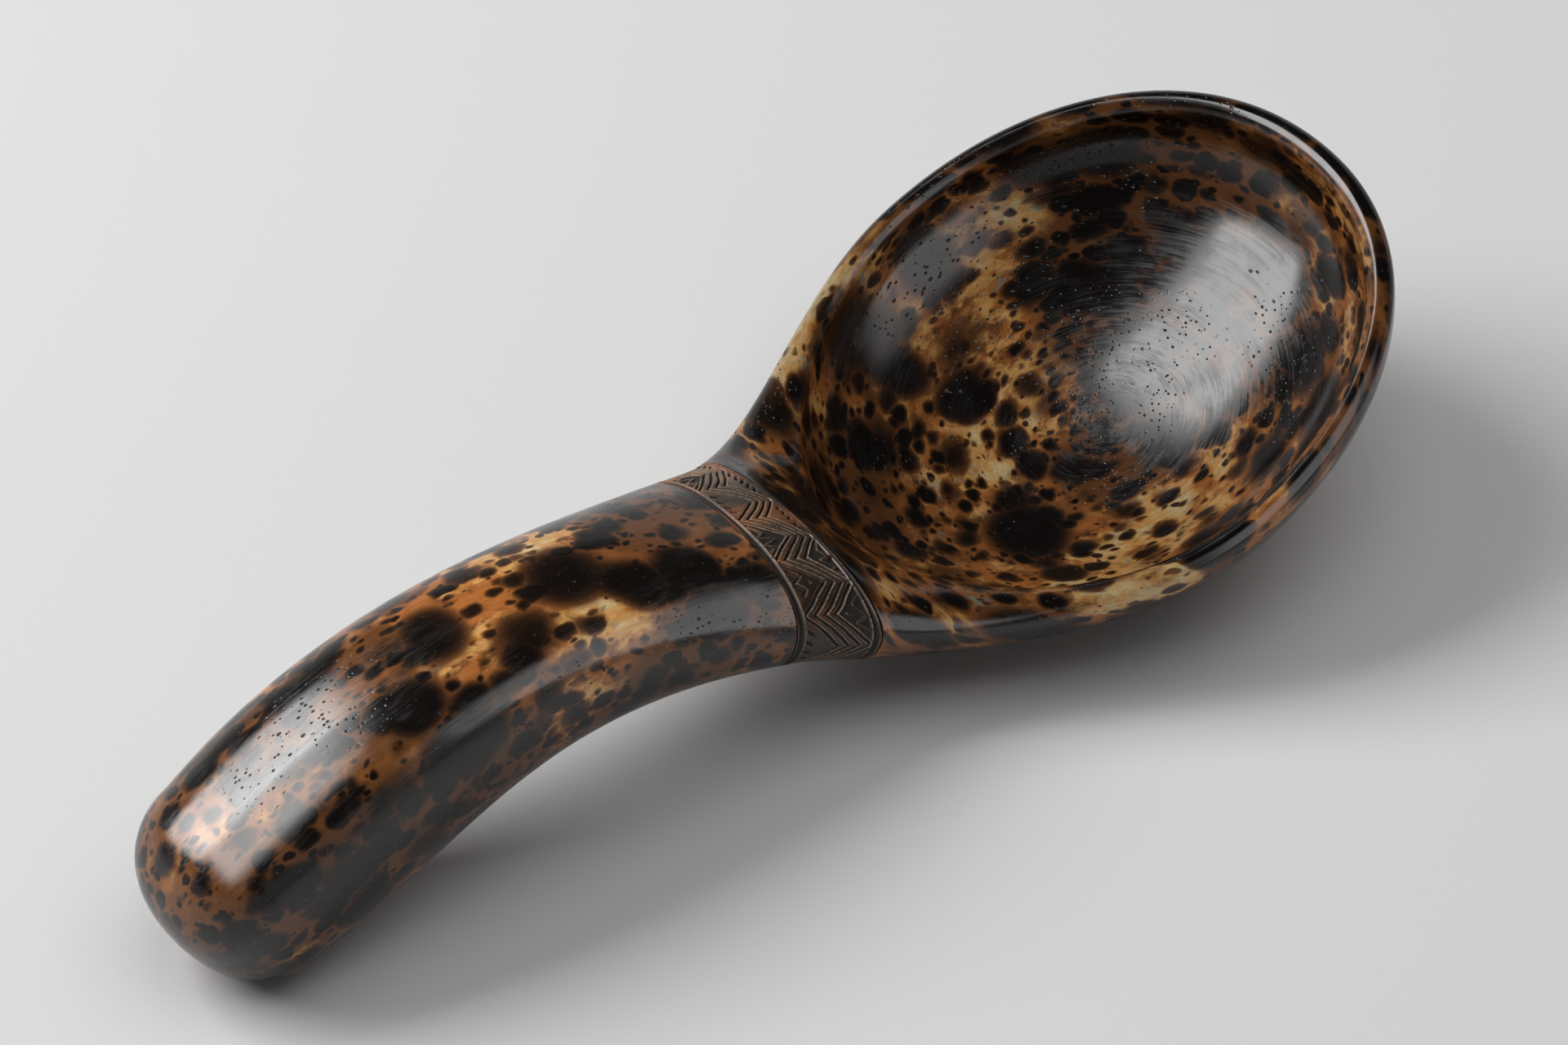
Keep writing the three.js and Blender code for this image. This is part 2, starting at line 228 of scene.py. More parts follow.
def gripSection(distance):
    # An oval across the grip, at a distance behind the collar's middle along the centre line
    t = np.interp(distance, lineLengths, lineShares)
    centre = bezier(gripLine, t)
    tangent = bezier(gripLine, t + 1e-4) - bezier(gripLine, t - 1e-4)
    tangent /= np.linalg.norm(tangent, axis=-1, keepdims=True)
    sizes = bezier(np.stack([grip["halfWidths"], grip["halfHeights"]], -1), t)
    power = grip["power"] + (rim["neckPower"] - grip["power"]) * (1 - t) ** 2
    return {
        "x": centre[..., 0], "z": centre[..., 1], "nx": tangent[..., 1], "nz": -tangent[..., 0],
        "width": sizes[..., 0], "up": sizes[..., 1], "down": sizes[..., 1], "powers": (power, power),
    }


def neckSection(distance, inset=0):
    # Under the collar each half size runs from the grip's to the bowl's, and keeps both slopes
    distance = np.asarray(distance, float)
    behind = gripSection(halfCollar)
    further = gripSection(halfCollar + 1)
    sizesAt = {
        "width": bowlWidthAt,
        "up": lambda x: rim["neckHalfHeight"] * neckShare(x),
        "down": bowlDepthAt,
    }
    section = {}
    for key, at in sizesAt.items():
        here, onward = at(np.array(faceX)), at(np.array(faceX + 1))
        slopes = behind[key] - further[key], onward - here
        place = distance + halfCollar
        section[key] = ease(place, splice["collar"], behind[key], slopes[0], here, slopes[1]) - inset
    back = gripSection(np.maximum(-distance, 0))
    ahead = np.maximum(distance, 0) * math.cos(neckTilt)
    nx, nz = rimNormal(ahead)
    isBack = distance < 0
    section["x"] = np.where(isBack, back["x"], ahead)
    section["z"] = np.where(isBack, back["z"], rimHeight(ahead))
    section["nx"] = np.where(isBack, back["nx"], nx)
    section["nz"] = np.where(isBack, back["nz"], nz)
    share = (halfCollar - distance) / splice["collar"]
    faces = rim["neckPower"], keelPowerAt(np.array(faceX))
    section["powers"] = tuple(face + (old - face) * share for face, old in zip(faces, behind["powers"]))
    return section


def ringPoints(section, angle):
    # Ovals as signed powers of the cosine and sine, one row for each section and one column for each angle
    up = np.sin(angle) > 0
    columns = {key: np.atleast_1d(value)[:, None] for key, value in section.items() if key != "powers"}
    top, bottom = (np.atleast_1d(power)[:, None] for power in section["powers"])
    power = 2 / np.where(up, top, bottom)
    side = columns["width"] * signedPower(np.cos(angle), power)
    height = np.where(up, columns["up"], columns["down"]) * signedPower(np.sin(angle), power)
    x = columns["x"] + height * columns["nx"]
    z = columns["z"] + height * columns["nz"]
    return np.stack([x, side, z], -1), side, height


def joinSections(*sections):
    return {key: np.concatenate([section[key] for section in sections], axis=-1) for key in sections[0]}


# From spoon places to the frame: the middle of the length goes over the origin, and the table to z = 0
spoonShift = {}


def toFrame(points):
    moved = np.array(points, float)
    moved[..., 0] += spoonShift["x"]
    moved[..., 2] = np.maximum(moved[..., 2] - tableZ, 0)  # the two worn flats
    return moved * 0.001


def meshFromGrid(name, grid, poles=(), tubular=False, values=None):
    # Rows of ring points become quads, and poles close the first and the last row with fans. Tubular joins
    # the last row to the first. Values that leave out the poles are zero there
    rows, columns = grid.shape[:2]
    index = np.arange(rows * columns).reshape(rows, columns)
    here = index if tubular else index[:-1]
    after = np.roll(index, -1, axis=0) if tubular else index[1:]
    quads = np.stack([here, np.roll(here, -1, 1), np.roll(after, -1, 1), after], -1).reshape(-1, 4)
    points = np.concatenate([grid.reshape(-1, 3), np.reshape(poles, (-1, 3))])
    triangles = np.zeros((0, 3), int)
    for tip, ring in zip(range(rows * columns, len(points)), (index[0][::-1], index[-1])):
        fan = np.stack([ring, np.roll(ring, -1), np.full(columns, tip)], -1)
        triangles = np.concatenate([triangles, fan])
    corners = np.concatenate([quads.ravel(), triangles.ravel()])
    sizes = np.concatenate([np.full(len(quads), 4), np.full(len(triangles), 3)])
    mesh = bpy.data.meshes.new(name)
    mesh.vertices.add(len(points))
    mesh.vertices.foreach_set("co", points.ravel())
    mesh.loops.add(len(corners))
    mesh.loops.foreach_set("vertex_index", corners.astype(np.int32))
    mesh.polygons.add(len(sizes))
    mesh.polygons.foreach_set("loop_start", np.append(0, np.cumsum(sizes)[:-1]).astype(np.int32))
    for key, value in (values or {}).items():
        layer = mesh.attributes.new(key, "FLOAT_VECTOR", "POINT")
        filled = np.zeros(3 * len(points), np.float32)
        filled[: value.size] = value.ravel()
        layer.data.foreach_set("vector", filled)
    mesh.update(calc_edges=True)
    mesh.validate()
    return mesh


def addObject(name, data):
    item = bpy.data.objects.new(name, data)
    bpy.context.scene.collection.objects.link(item)
    return item


def placePiece(name, mesh, material, sharpDegrees=50):
    # Puts the mesh into the scene with merged seams and smooth faces, and sharp edges past the angle
    work = bmesh.new()
    work.from_mesh(mesh)
    bmesh.ops.remove_doubles(work, verts=work.verts, dist=1e-6)
    bmesh.ops.recalc_face_normals(work, faces=work.faces)
    work.to_mesh(mesh)
    work.free()
    mesh.shade_smooth()
    mesh.set_sharp_from_angle(angle=math.radians(sharpDegrees))
    mesh.materials.append(material)
    return addObject(name, mesh)


def carve(piece, tool, operation):
    # Applies a boolean with the tool, then takes the tool away
    step = piece.modifiers.new("carve", "BOOLEAN")
    step.object = tool
    step.operation = operation
    step.solver = "EXACT"
    bpy.context.view_layer.objects.active = piece
    bpy.ops.object.modifier_apply(modifier=step.name)
    bpy.data.objects.remove(tool)


def addNode(tree, kind, sockets=None, **settings):
    # Adds a shader node with its settings, fills or links its sockets, and gives its outputs
    item = tree.nodes.new("ShaderNode" + kind)
    for key, value in settings.items():
        setattr(item, key, value)
    for key, value in (sockets or {}).items():
        if isinstance(value, bpy.types.NodeSocket):
            tree.links.new(value, item.inputs[key])
        else:
            item.inputs[key].default_value = value
    return item.outputs


def newMaterial(name):
    # A material without nodes, and its tree
    material = bpy.data.materials.new(name)
    material.use_nodes = True
    material.node_tree.nodes.clear()
    return material, material.node_tree


def addSurface(tree, finish):
    surface = addNode(tree, "BsdfPrincipled", finish)
    addNode(tree, "OutputMaterial", {"Surface": surface[0]})


def linear(hexColour):
    # sRGB hex to linear light, with alpha 1
    parts = [int(hexColour[i : i + 2], 16) / 255 for i in (1, 3, 5)]
    return tuple(p / 12.92 if p <= 0.04045 else ((p + 0.055) / 1.055) ** 2.4 for p in parts) + (1.0,)


smooth = {"interpolation_type": "SMOOTHSTEP"}


# Camera

camera = {
    "azimuth": 38.049,  # degrees to the right of +Y
    "elevation": 44.163,
    "distance": 997.8,
    "target": (22.586, 24.317, 0),
    "lens": 124.44,
    "sensor": 36,
}


def addCamera():
    turn = math.radians(camera["azimuth"])
    tilt = math.radians(camera["elevation"])
    look = np.array([math.sin(turn) * math.cos(tilt), math.cos(turn) * math.cos(tilt), -math.sin(tilt)])
    spot = (np.array(camera["target"]) - look * camera["distance"]) * 0.001
    data = bpy.data.cameras.new("photoCamera")
    data.lens = camera["lens"]
    data.sensor_width = camera["sensor"]
    data.clip_start = 0.01
    item = addObject("photoCamera", data)
    item.location = spot
    item.rotation_euler = (math.pi / 2 - tilt, 0, -turn)
    bpy.context.scene.camera = item


addCamera()
print("camera placed")


# Horn, polished or carved

horn = {
    "amber": "#855026",
    "honey": "#a67a44",
    "cream": "#a89369",
    "greenGrey": "#62665b",
    "rust": "#533218",
    "brown": "#29170b",
    "black": "#090605",
    # colour of the painted glints, pale flecks in the black spots
    "paintedGlint": "#5b5248",
    "roughness": (0.13, 0.3),
    "ior": 1.54,
    "spots": (  # spacing in mm, smallest and largest radius and soft edge as shares of it, and strength
        (12, (0.08, 0.5), 0.24, 1.15),
        (6.2, (0.14, 0.56), 0.24, 1.15),
        (3.6, (0.1, 0.56), 0.22, 1.1),
        (1.9, (0.0, 0.5), 0.22, 0.9),
    ),
    "fieldWidth": 24,  # of the wide dark and light fields
    "fieldDepth": 2.4,  # from the lightest to the darkest
    "fieldShift": 0.2,
    "fieldSwell": 0.3,  # how much of it swells or shrinks the spots. All of it browns the horn between them
    "edgeWidth": 3.6,  # of the bays and tongues in a spot's edge
    "edgeReach": 2.2,
    "patchWidth": 5.5,  # of the rust, honey and cream patches in the clear horn
    "clearTints": (  # colour, what brings it in, and the values of that where it starts and is full
        ("rust", "warmth", 0.46, 0.62),
        ("honey", "paleness", 0.5, 0.62),
        ("cream", "paleness", 0.6, 0.76),
        ("greenGrey", "grain", 0.6, 0.72),
        ("brown", "grain", 0.46, 0.26),
        ("rust", "field", 0.1, 0.8),
        ("brown", "field", 0.4, 1.3),
    ),
    "spotTints": (
        ("rust", "darkness", 0.0, 0.45),
        ("brown", "darkness", 0.2, 0.75),
        ("black", "darkness", 0.45, 1.05),
        # painted glints: pale flecks in the black
        ("paintedGlint", "glintFlecks", 0.68, 0.84),
        # painted shade: the pits turn black
        ("black", "pits", 0.1, 0.7),
    ),
    "fibreWidth": 0.55,  # real fibres and rubbing marks are finer, and wouldn't show
    "fibreLength": 14,
    "fibreShade": (0.62, 1.35),
    "glintFleckWidth": 0.55,
    "waveWidth": 13,  # of the slight unevenness that scraping leaves
    "waveDepth": 0.09,
    "scratchWidth": 0.45,
    "scratchDepth": 0.0026,
    "wornScratches": (0.15, 0.4),  # strengths between which the marks dull the gloss
    "pits": (0.9, (-0.04, 0.3), 0.1),  # as for the spots. Most cells have none
    "pitFields": (0.5, 0.58),  # darkness of the wide fields that have pits
    "pitDepth": -0.1,
    "pitRoughness": 0.5,
}


def spotLayer(tree, place, cell, radii, softness):
    # Round soft-edged spots, one in each cell, that run into each other, as dark inclusions in horn do. The
    # radius changes from cell to cell
    sockets = {"Vector": place, "Scale": 1 / cell, "Smoothness": 0.3}
    cells = addNode(tree, "TexVoronoi", sockets, feature="SMOOTH_F1")
    sockets = {"Value": cells["Color"], "To Min": radii[0], "To Max": radii[1]}
    radius = addNode(tree, "MapRange", sockets)[0]
    inner = addNode(tree, "Math", {0: radius, 1: softness}, operation="SUBTRACT")[0]
    outer = addNode(tree, "Math", {0: radius, 1: softness}, operation="ADD")[0]
    reach = {"From Min": inner, "From Max": outer, "To Min": 1.0, "To Max": 0.0}
    return addNode(tree, "MapRange", {"Value": cells["Distance"], **reach}, **smooth)[0]


def tintAll(tree, palette, colour, tints, shares):
    # Lays one tint after another over a colour, each as its own share goes from low to high
    for tint, share, low, high in tints:
        rising = {"Value": shares[share], "From Min": low, "From Max": high}
        amount = addNode(tree, "MapRange", rising, **smooth)[0]
        mixing = {0: amount, 6: colour, 7: linear(palette[tint])}
        colour = addNode(tree, "Mix", mixing, data_type="RGBA")[2]
    return colour


def makeHorn(name, seed):
    # Horn scraped, steamed open and polished by hand: glossy keratin, amber and cream where light gets in,
    # with near-black blotches in brown haloes, faint fibres along its growth, pits and rubbing marks
    material, tree = newMaterial(name)
    keys = "grainPlace", "rubPlace", "tone"
    grain, rubbed, tone = (addNode(tree, "Attribute", attribute_name=key)["Vector"] for key in keys)
    darkTone, paleTone, spotTone = addNode(tree, "SeparateXYZ", {0: tone})
    seeded = {0: grain, 1: (seed, seed * 1.7, -seed)}
    shifted = addNode(tree, "VectorMath", seeded, operation="ADD")[0]

    # Bays and tongues in the edges of the spots
    ragged = {"Vector": shifted, "Scale": 1 / horn["edgeWidth"], "Detail": 2.0, "Roughness": 0.5}
    edge = addNode(tree, "TexNoise", ragged)["Color"]
    centred = addNode(tree, "VectorMath", {0: edge, 1: (0.5, 0.5, 0.5)}, operation="SUBTRACT")[0]
    reach = {0: centred, 1: (horn["edgeReach"],) * 3, 2: shifted}
    warped = addNode(tree, "VectorMath", reach, operation="MULTIPLY_ADD")[0]

    # Spots of four sizes and the piece's own, joined by taking the strongest
    spots = spotTone
    for cell, radii, softness, strength in horn["spots"]:
        layer = spotLayer(tree, warped, cell, radii, softness)
        scaled = addNode(tree, "Math", {0: layer, 1: strength}, operation="MULTIPLY")[0]
        spots = addNode(tree, "Math", {0: scaled, 1: spots}, operation="MAXIMUM")[0]

    # Wide fields, and the darkness given at the piece's own places
    wide = {"Vector": shifted, "Scale": 1 / horn["fieldWidth"], "Detail": 4.0, "Roughness": 0.62}
    field = addNode(tree, "TexNoise", wide)[0]
    halfDepth = horn["fieldDepth"] / 2
    span = {"To Min": horn["fieldShift"] - halfDepth, "To Max": horn["fieldShift"] + halfDepth}
    fieldDark = addNode(tree, "MapRange", {"Value": field, **span})[0]
    pushed = addNode(tree, "Math", {0: fieldDark, 1: darkTone}, operation="ADD")[0]
    swelling = {0: pushed, 1: horn["fieldSwell"], 2: spots}
    dark = addNode(tree, "Math", swelling, operation="MULTIPLY_ADD")[0]

    # Pits lie in the darker fields and where a spot tone is below zero
    pit = spotLayer(tree, shifted, *horn["pits"])
    low, high = horn["pitFields"]
    pitted = addNode(tree, "MapRange", {"Value": field, "From Min": low, "From Max": high}, **smooth)[0]
    pitTone = addNode(tree, "Math", {0: spotTone, 1: -1.0}, operation="MULTIPLY")[0]
    pitShare = addNode(tree, "Math", {0: pitted, 1: pitTone}, operation="MAXIMUM")[0]
    pits = addNode(tree, "Math", {0: pit, 1: pitShare}, operation="MULTIPLY")[0]

    # The clear horn between the spots
    patches = {"Vector": warped, "Scale": 1 / horn["patchWidth"], "Detail": 4.0, "Roughness": 0.65}
    patchColour = addNode(tree, "TexNoise", patches)["Color"]
    warmth, fine, paleness = addNode(tree, "SeparateXYZ", {0: patchColour})
    pale = addNode(tree, "Math", {0: paleness, 1: paleTone}, operation="ADD")[0]
    shares = {"warmth": warmth, "paleness": pale, "grain": fine, "field": pushed}
    colour = tintAll(tree, horn, linear(horn["amber"]), horn["clearTints"], shares)

    # Fibres: fine streaks along the growth of the horn
    across = 1 / horn["fibreWidth"]
    stretching = {0: shifted, 1: (1 / horn["fibreLength"], across, across)}
    stretched = addNode(tree, "VectorMath", stretching, operation="MULTIPLY")[0]
    fibre = addNode(tree, "TexNoise", {"Vector": stretched, "Scale": 1.0, "Detail": 2.0})[0]
    low, high = horn["fibreShade"]
    shade = addNode(tree, "MapRange", {"Value": fibre, "To Min": low, "To Max": high})[0]
    multiply = {"data_type": "RGBA", "blend_type": "MULTIPLY"}
    streaked = addNode(tree, "Mix", {0: 1.0, 6: colour, 7: shade}, **multiply)[2]

    # From the clear horn through a brown halo to black, with painted glints as pale flecks in the black, and
    # painted shade as black in the pits
    glintNoise = {"Vector": shifted, "Scale": 1 / horn["glintFleckWidth"], "Detail": 2.0}
    glintFlecks = addNode(tree, "TexNoise", glintNoise)[0]
    shares = {"darkness": dark, "glintFlecks": glintFlecks, "pits": pits}
    colour = tintAll(tree, horn, streaked, horn["spotTints"], shares)

    # Unevenness, rubbing marks and pits, in millimetres of height
    waving = {"Vector": shifted, "Scale": 1 / horn["waveWidth"], "Detail": 1.0}
    wave = addNode(tree, "TexNoise", waving)[0]
    rubbing = {"Vector": rubbed, "Scale": 1 / horn["scratchWidth"], "Detail": 3.0, "Roughness": 0.65}
    scratch = addNode(tree, "TexNoise", rubbing)[0]
    height = 0.0
    for layer, rise in ((wave, "waveDepth"), (scratch, "scratchDepth"), (pits, "pitDepth")):
        height = addNode(tree, "Math", {0: layer, 1: horn[rise], 2: height}, operation="MULTIPLY_ADD")[0]
    bump = addNode(tree, "Bump", {"Height": height, "Distance": 0.001})[0]

    # The polish is dulled a little by rubbing marks, and more in the pits
    worn = addNode(tree, "Math", {0: scratch, 1: paleness}, operation="MULTIPLY")[0]
    (start, full), (low, high) = horn["wornScratches"], horn["roughness"]
    dulling = {"Value": worn, "From Min": start, "From Max": full, "To Min": low, "To Max": high}
    dull = addNode(tree, "MapRange", dulling, **smooth)[0]
    roughening = {0: pits, 1: horn["pitRoughness"], 2: dull}
    matt = addNode(tree, "Math", roughening, operation="MULTIPLY_ADD")[0]
    finish = {"Base Color": colour, "Roughness": matt, "IOR": horn["ior"], "Normal": bump}
    addSurface(tree, finish)
    return material


carved = {
    "body": "#21170f",
    "warm": "#6b4020",
    "worn": "#8a6e57",
    # near-black: painted shade in the cuts, and grit here and there
    "gritAndShade": "#0b0704",
    "tints": (
        ("warm", "warmth", 0.5, 0.8),
        ("gritAndShade", "grit", 0.5, 0.2),
        # pale edges: partly wear, partly a painted glint on the ridges
        ("worn", "rubbed", 0.12, 0.5),
        # painted shade: the cuts turn near-black by their depth
        ("gritAndShade", "depth", 0.14, 0.36),
    ),
    "amberShare": 0.3,  # that a thin place adds to the warmth
    "roughness": (0.3, 0.7),  # on the rubbed edges, and in the cuts
    "roughDepth": 0.3,
    "patchWidth": 9,
    "grainWidth": 0.5,
    "grainDepth": 0.012,
}


def makeCarvedHorn():
    # The same horn cut with a graver and left satin: painted shade darkens the cuts, grit darkens it here and
    # there, warm brown where it is thin, and pale edges that are partly wear and partly a painted glint on
    # the ridges
    material, tree = newMaterial("carvedHorn")
    keys = "grainPlace", "cut"
    grain, cut = (addNode(tree, "Attribute", attribute_name=key)["Vector"] for key in keys)
    depth, edge, amber = addNode(tree, "SeparateXYZ", {0: cut})
    patches = {"Vector": grain, "Scale": 1 / carved["patchWidth"], "Detail": 3.0}
    patch = addNode(tree, "TexNoise", patches)[0]
    fine = {"Vector": grain, "Scale": 1 / carved["grainWidth"], "Detail": 3.0, "Roughness": 0.6}
    grit = addNode(tree, "TexNoise", fine)[0]
    rubbed = addNode(tree, "Math", {0: edge, 1: grit}, operation="MULTIPLY")[0]
    warming = {0: amber, 1: carved["amberShare"], 2: patch}
    warmth = addNode(tree, "Math", warming, operation="MULTIPLY_ADD")[0]
    shares = {"warmth": warmth, "grit": grit, "rubbed": rubbed, "depth": depth}
    colour = tintAll(tree, carved, linear(carved["body"]), carved["tints"], shares)
    low, high = carved["roughness"]
    dull = {"Value": depth, "From Max": carved["roughDepth"], "To Min": low, "To Max": high}
    roughness = addNode(tree, "MapRange", dull, **smooth)[0]
    raising = {0: grit, 1: carved["grainDepth"]}
    raised = addNode(tree, "Math", raising, operation="MULTIPLY")[0]
    bump = addNode(tree, "Bump", {"Height": raised, "Distance": 0.001})[0]
    finish = {"Base Color": colour, "Roughness": roughness, "IOR": horn["ior"], "Normal": bump}
    addSurface(tree, finish)
    return material


peg = {
    "body": "#2e241b",
    "streak": "#4d3a29",
    "tints": (("streak", "fibre", 0.4, 0.7),),
    "fibreWidth": 0.6,
    "fibreLength": 12,
    "roughness": 0.5,
}


def makePinHorn():
    # Plain dark horn from a tip, whittled to a peg and left dull: brown, with fibres along its length
    material, tree = newMaterial("pinHorn")
    place = addNode(tree, "TexCoord")["Object"]
    across = 1000 / peg["fibreWidth"]
    stretching = {0: place, 1: (across, across, 1000 / peg["fibreLength"])}
    fibres = addNode(tree, "VectorMath", stretching, operation="MULTIPLY")[0]
    fibre = addNode(tree, "TexNoise", {"Vector": fibres, "Scale": 1.0, "Detail": 2.0})[0]
    colour = tintAll(tree, peg, linear(peg["body"]), peg["tints"], {"fibre": fibre})
    finish = {"Base Color": colour, "Roughness": peg["roughness"], "IOR": horn["ior"]}
    addSurface(tree, finish)
    return material


def markTones(along, across, marks):
    # Soft ovals that each add darkness, paleness and a spot: full inside, and fading over the edge by its
    # softness. A spot below zero is a patch of pits
    tone = np.zeros(along.shape + (3,))
    for (a, b), (reachA, reachB), softness, tones in marks:
        share = np.hypot((along - a) / reachA, (across - b) / reachB)
        tone += (1 - smoothStep(share, 1 - softness, 1 + softness))[..., None] * tones
    return tone


bowlHorn = makeHorn("bowlHorn", 31.0)
gripHorn = makeHorn("gripHorn", 74.0)
carvedHorn = makeCarvedHorn()
pinHorn = makePinHorn()
print("materials made")


# Bowl

bowlMesh = {
    "sideSteps": 170,
    "faceSteps": 44,
    "crowding": 2.2,
    "hullRows": 60,
    "lipRows": 24,
    "hollowRows": 60,
    "stretchRadius": 70,  # radius in the bowl at which the pattern's circles are half as wide
    "patternHeight": 120,  # of the pattern under the keel, above its place in the hollow
    "settle": (4, 26),  # radii between which the pattern leaves that height
    "rubTurns": 1.5,  # more gives shorter rubbing marks around the hollow
    "hollowFade": (-8, 6),  # rows from the lip's inner edge, between which the hollow's marks come in
    "lipFadeIn": (-12, 0),  # rows from its outer edge, between which its own come in
    "lipFadeOut": (-14, -4),  # and from its inner edge, between which they go
    "hollowMarks": (  # place from the bowl's middle, reach, softness, and darkness, paleness and spot to add
        ((-19, 41), (8.6, 6.5), 0.6, (0, 0, 1.1)),
        ((-17, 32), (4.5, 4), 0.6, (0, 0, 1.1)),
        ((-1, 44), (5.5, 4.5), 0.6, (0, 0, 1.1)),
        ((-22, -9), (5.5, 8.5), 0.55, (0, 0, 1.1)),
        ((22, 1), (5, 7.5), 0.5, (0, 0, -1.2)),
        ((7, 40), (9, 6), 0.8, (-0.4, 0.1, 0)),
        ((24, 40), (12, 6), 0.8, (-0.3, 0.05, 0)),
        ((32, 32), (14, 9), 0.7, (0.7, 0, 0)),
        ((36, 10), (13, 16), 0.7, (0.8, 0, 0)),
        ((19, 22), (14, 10), 0.7, (0.7, 0, 0)),
        ((22, 0), (17, 16), 0.7, (1.0, 0, 0)),
        ((-1, 30), (8, 7), 0.8, (-0.8, 0, 0)),
        ((-5, 15), (11, 9), 0.8, (-0.3, 0.1, 0)),
        ((-1, -5), (12, 9), 0.7, (0.7, 0, 0)),
        ((20, -17), (13, 9), 0.7, (0.5, 0, 0)),
        ((-20, 8), (9, 9), 0.8, (-0.5, 0.1, 0)),
        ((-16, -27), (20, 8), 0.8, (-0.5, 0.1, 0)),
        ((36, -18), (12, 14), 0.8, (-0.5, 0, 0)),
        ((-47, 10), (16, 16), 0.8, (0.5, 0, 0)),
        ((-10, 40), (19, 12), 0.7, (-1.2, 0.04, 0)),
        ((2, -32), (30, 12), 0.8, (-0.35, 0.03, 0)),
    ),
    "lipMarksAndGlow": (  # angle from the front, reach in degrees, softness and tones
        # pale honey at 122, -88 and -116 degrees is a painted glow of light shining through the thin lip
        (122, 26, 0.5, (-2.4, 0.2, 0)),
        (75, 14, 0.6, (0.5, 0, 0)),
        (20, 40, 0.6, (0.9, 0, 0)),
        (-60, 24, 0.6, (0.5, 0, 0)),
        # painted glow through the thin lip
        (-88, 6, 0.5, (-1.4, 0.1, 0)),
        (-101, 4.5, 0.4, (1.8, 0, 0)),
        # painted glow through the thin lip
        (-116, 12, 0.5, (-2.0, 0.22, 0)),
    ),
}


def bowlOutline():
    # One side from the neck to the tip, the other side back, then across the neck's end face
    t = np.linspace(0, 1, bowlMesh["sideSteps"] + 1)
    x = faceX + (tipX - faceX) * (1 - (1 - t) ** bowlMesh["crowding"])
    near = np.stack([x, -bowlWidthAt(x)], -1)
    far = near[:-1][::-1] * [1, -1]
    angle = np.pi * np.arange(1, bowlMesh["faceSteps"]) / bowlMesh["faceSteps"]
    face = np.stack([np.full(len(angle), faceX), bowlWidthAt(np.array(faceX)) * np.cos(angle)], -1)
    return np.concatenate([near, far, face])


def hollowRadius(dx, dy):
    # A superellipse about the bowl's middle, with its own reach and power before and behind
    length = np.hypot(dx, dy)
    ahead = dx > 0
    reach = np.where(ahead, rim["front"] - rim["lip"], rim["reach"] - rim["hollowStart"])
    power = np.where(ahead, rim["frontPower"], rim["hollowBackPower"])
    along = np.abs(dx / length / reach) ** power
    across = np.abs(dy / length / (rim["halfWidth"] - rim["lip"])) ** power
    return (along + across) ** (-1 / power)


def bowlGrid():
    # Rings about the bowl's middle: out along the underside, over the lip, and down the hollow
    outline = bowlOutline()
    dx, dy = outline[:, 0] - rim["reach"], outline[:, 1]
    outer = np.hypot(dx, dy)
    inner = hollowRadius(dx, dy)

    def ringAt(radius, height):
        x = rim["reach"] + dx * radius / outer
        y = dy * radius / outer
        return onRimLine(x, y, height(x, y))

    rows = []
    radii = []
    for share in np.sin(np.pi / 2 * np.arange(1, bowlMesh["hullRows"] + 1) / bowlMesh["hullRows"]):
        rows.append(ringAt(outer * share, undersideAt))
        radii.append(outer * share)
    for across in (1 - np.cos(np.linspace(0, np.pi, bowlMesh["lipRows"] + 1))) / 2:
        radius = outer + (inner - outer) * across
        rows.append(ringAt(radius, lambda x, y: topAt(x, y, across)))
        radii.append(radius)
    hollowDepth = rim["depth"] - rim["wall"]
    for angle in np.linspace(0, np.pi / 2, bowlMesh["hollowRows"] + 1)[1:-1]:
        rows.append(ringAt(inner * math.cos(angle), lambda x, y: -hollowDepth * math.sin(angle)))
        radii.append(inner * math.cos(angle))
    poles = [onRimLine(rim["reach"], 0, height) for height in (-rim["depth"], -hollowDepth)]
    return np.stack(rows), np.stack(radii), np.arctan2(dy, dx), poles


def grainOnBowl(points, radii, angle):
    # The pattern lies on a narrower cup: k = r / (1 + r / R) is its radius, and its height takes up the rest
    # of each step along the wall, so spots are round in the middle and lengthen along the rim
    k = radii / (1 + radii / bowlMesh["stretchRadius"])
    steps = np.linalg.norm(np.diff(points[::-1], axis=0), axis=-1)
    kSteps = np.diff(k[::-1], axis=0)
    rise = np.cumsum(np.sqrt(np.maximum(steps**2 - kSteps**2, 0)), axis=0)
    height = np.concatenate([np.zeros((1, len(angle))), rise])[::-1]
    hull = np.arange(len(k)) < bowlMesh["hullRows"]
    keel = bowlMesh["patternHeight"]
    height = np.where(hull[:, None], keel + (height - keel) * smoothStep(radii, *bowlMesh["settle"]), height)
    flat = np.stack([k * np.cos(angle), k * np.sin(angle), height], -1)
    return np.concatenate([flat.reshape(-1, 3), [[0, 0, keel], [0, 0, 0]]])


def bowlTones(radii, angle):
    # The hollow's marks lie in plan about the bowl's middle and fade out over the lip, which has its own
    # marks and a painted glow of light through its thin edge
    rows = np.arange(len(radii))[:, None, None]
    outerEdge = bowlMesh["hullRows"]
    innerEdge = outerEdge + bowlMesh["lipRows"]
    inHollow = smoothStep(rows - innerEdge, *bowlMesh["hollowFade"])
    onLip = smoothStep(rows - outerEdge, *bowlMesh["lipFadeIn"])
    onLip = onLip * (1 - smoothStep(rows - innerEdge, *bowlMesh["lipFadeOut"]))
    tone = inHollow * markTones(radii * np.cos(angle), radii * np.sin(angle), bowlMesh["hollowMarks"])
    degrees = np.degrees(angle)[None] + 0 * radii
    for middle, reach, softness, tones in bowlMesh["lipMarksAndGlow"]:
        share = np.abs((degrees - middle + 180) % 360 - 180) / reach
        tone += onLip * (1 - smoothStep(share, 1 - softness, 1 + softness))[..., None] * tones
    return tone


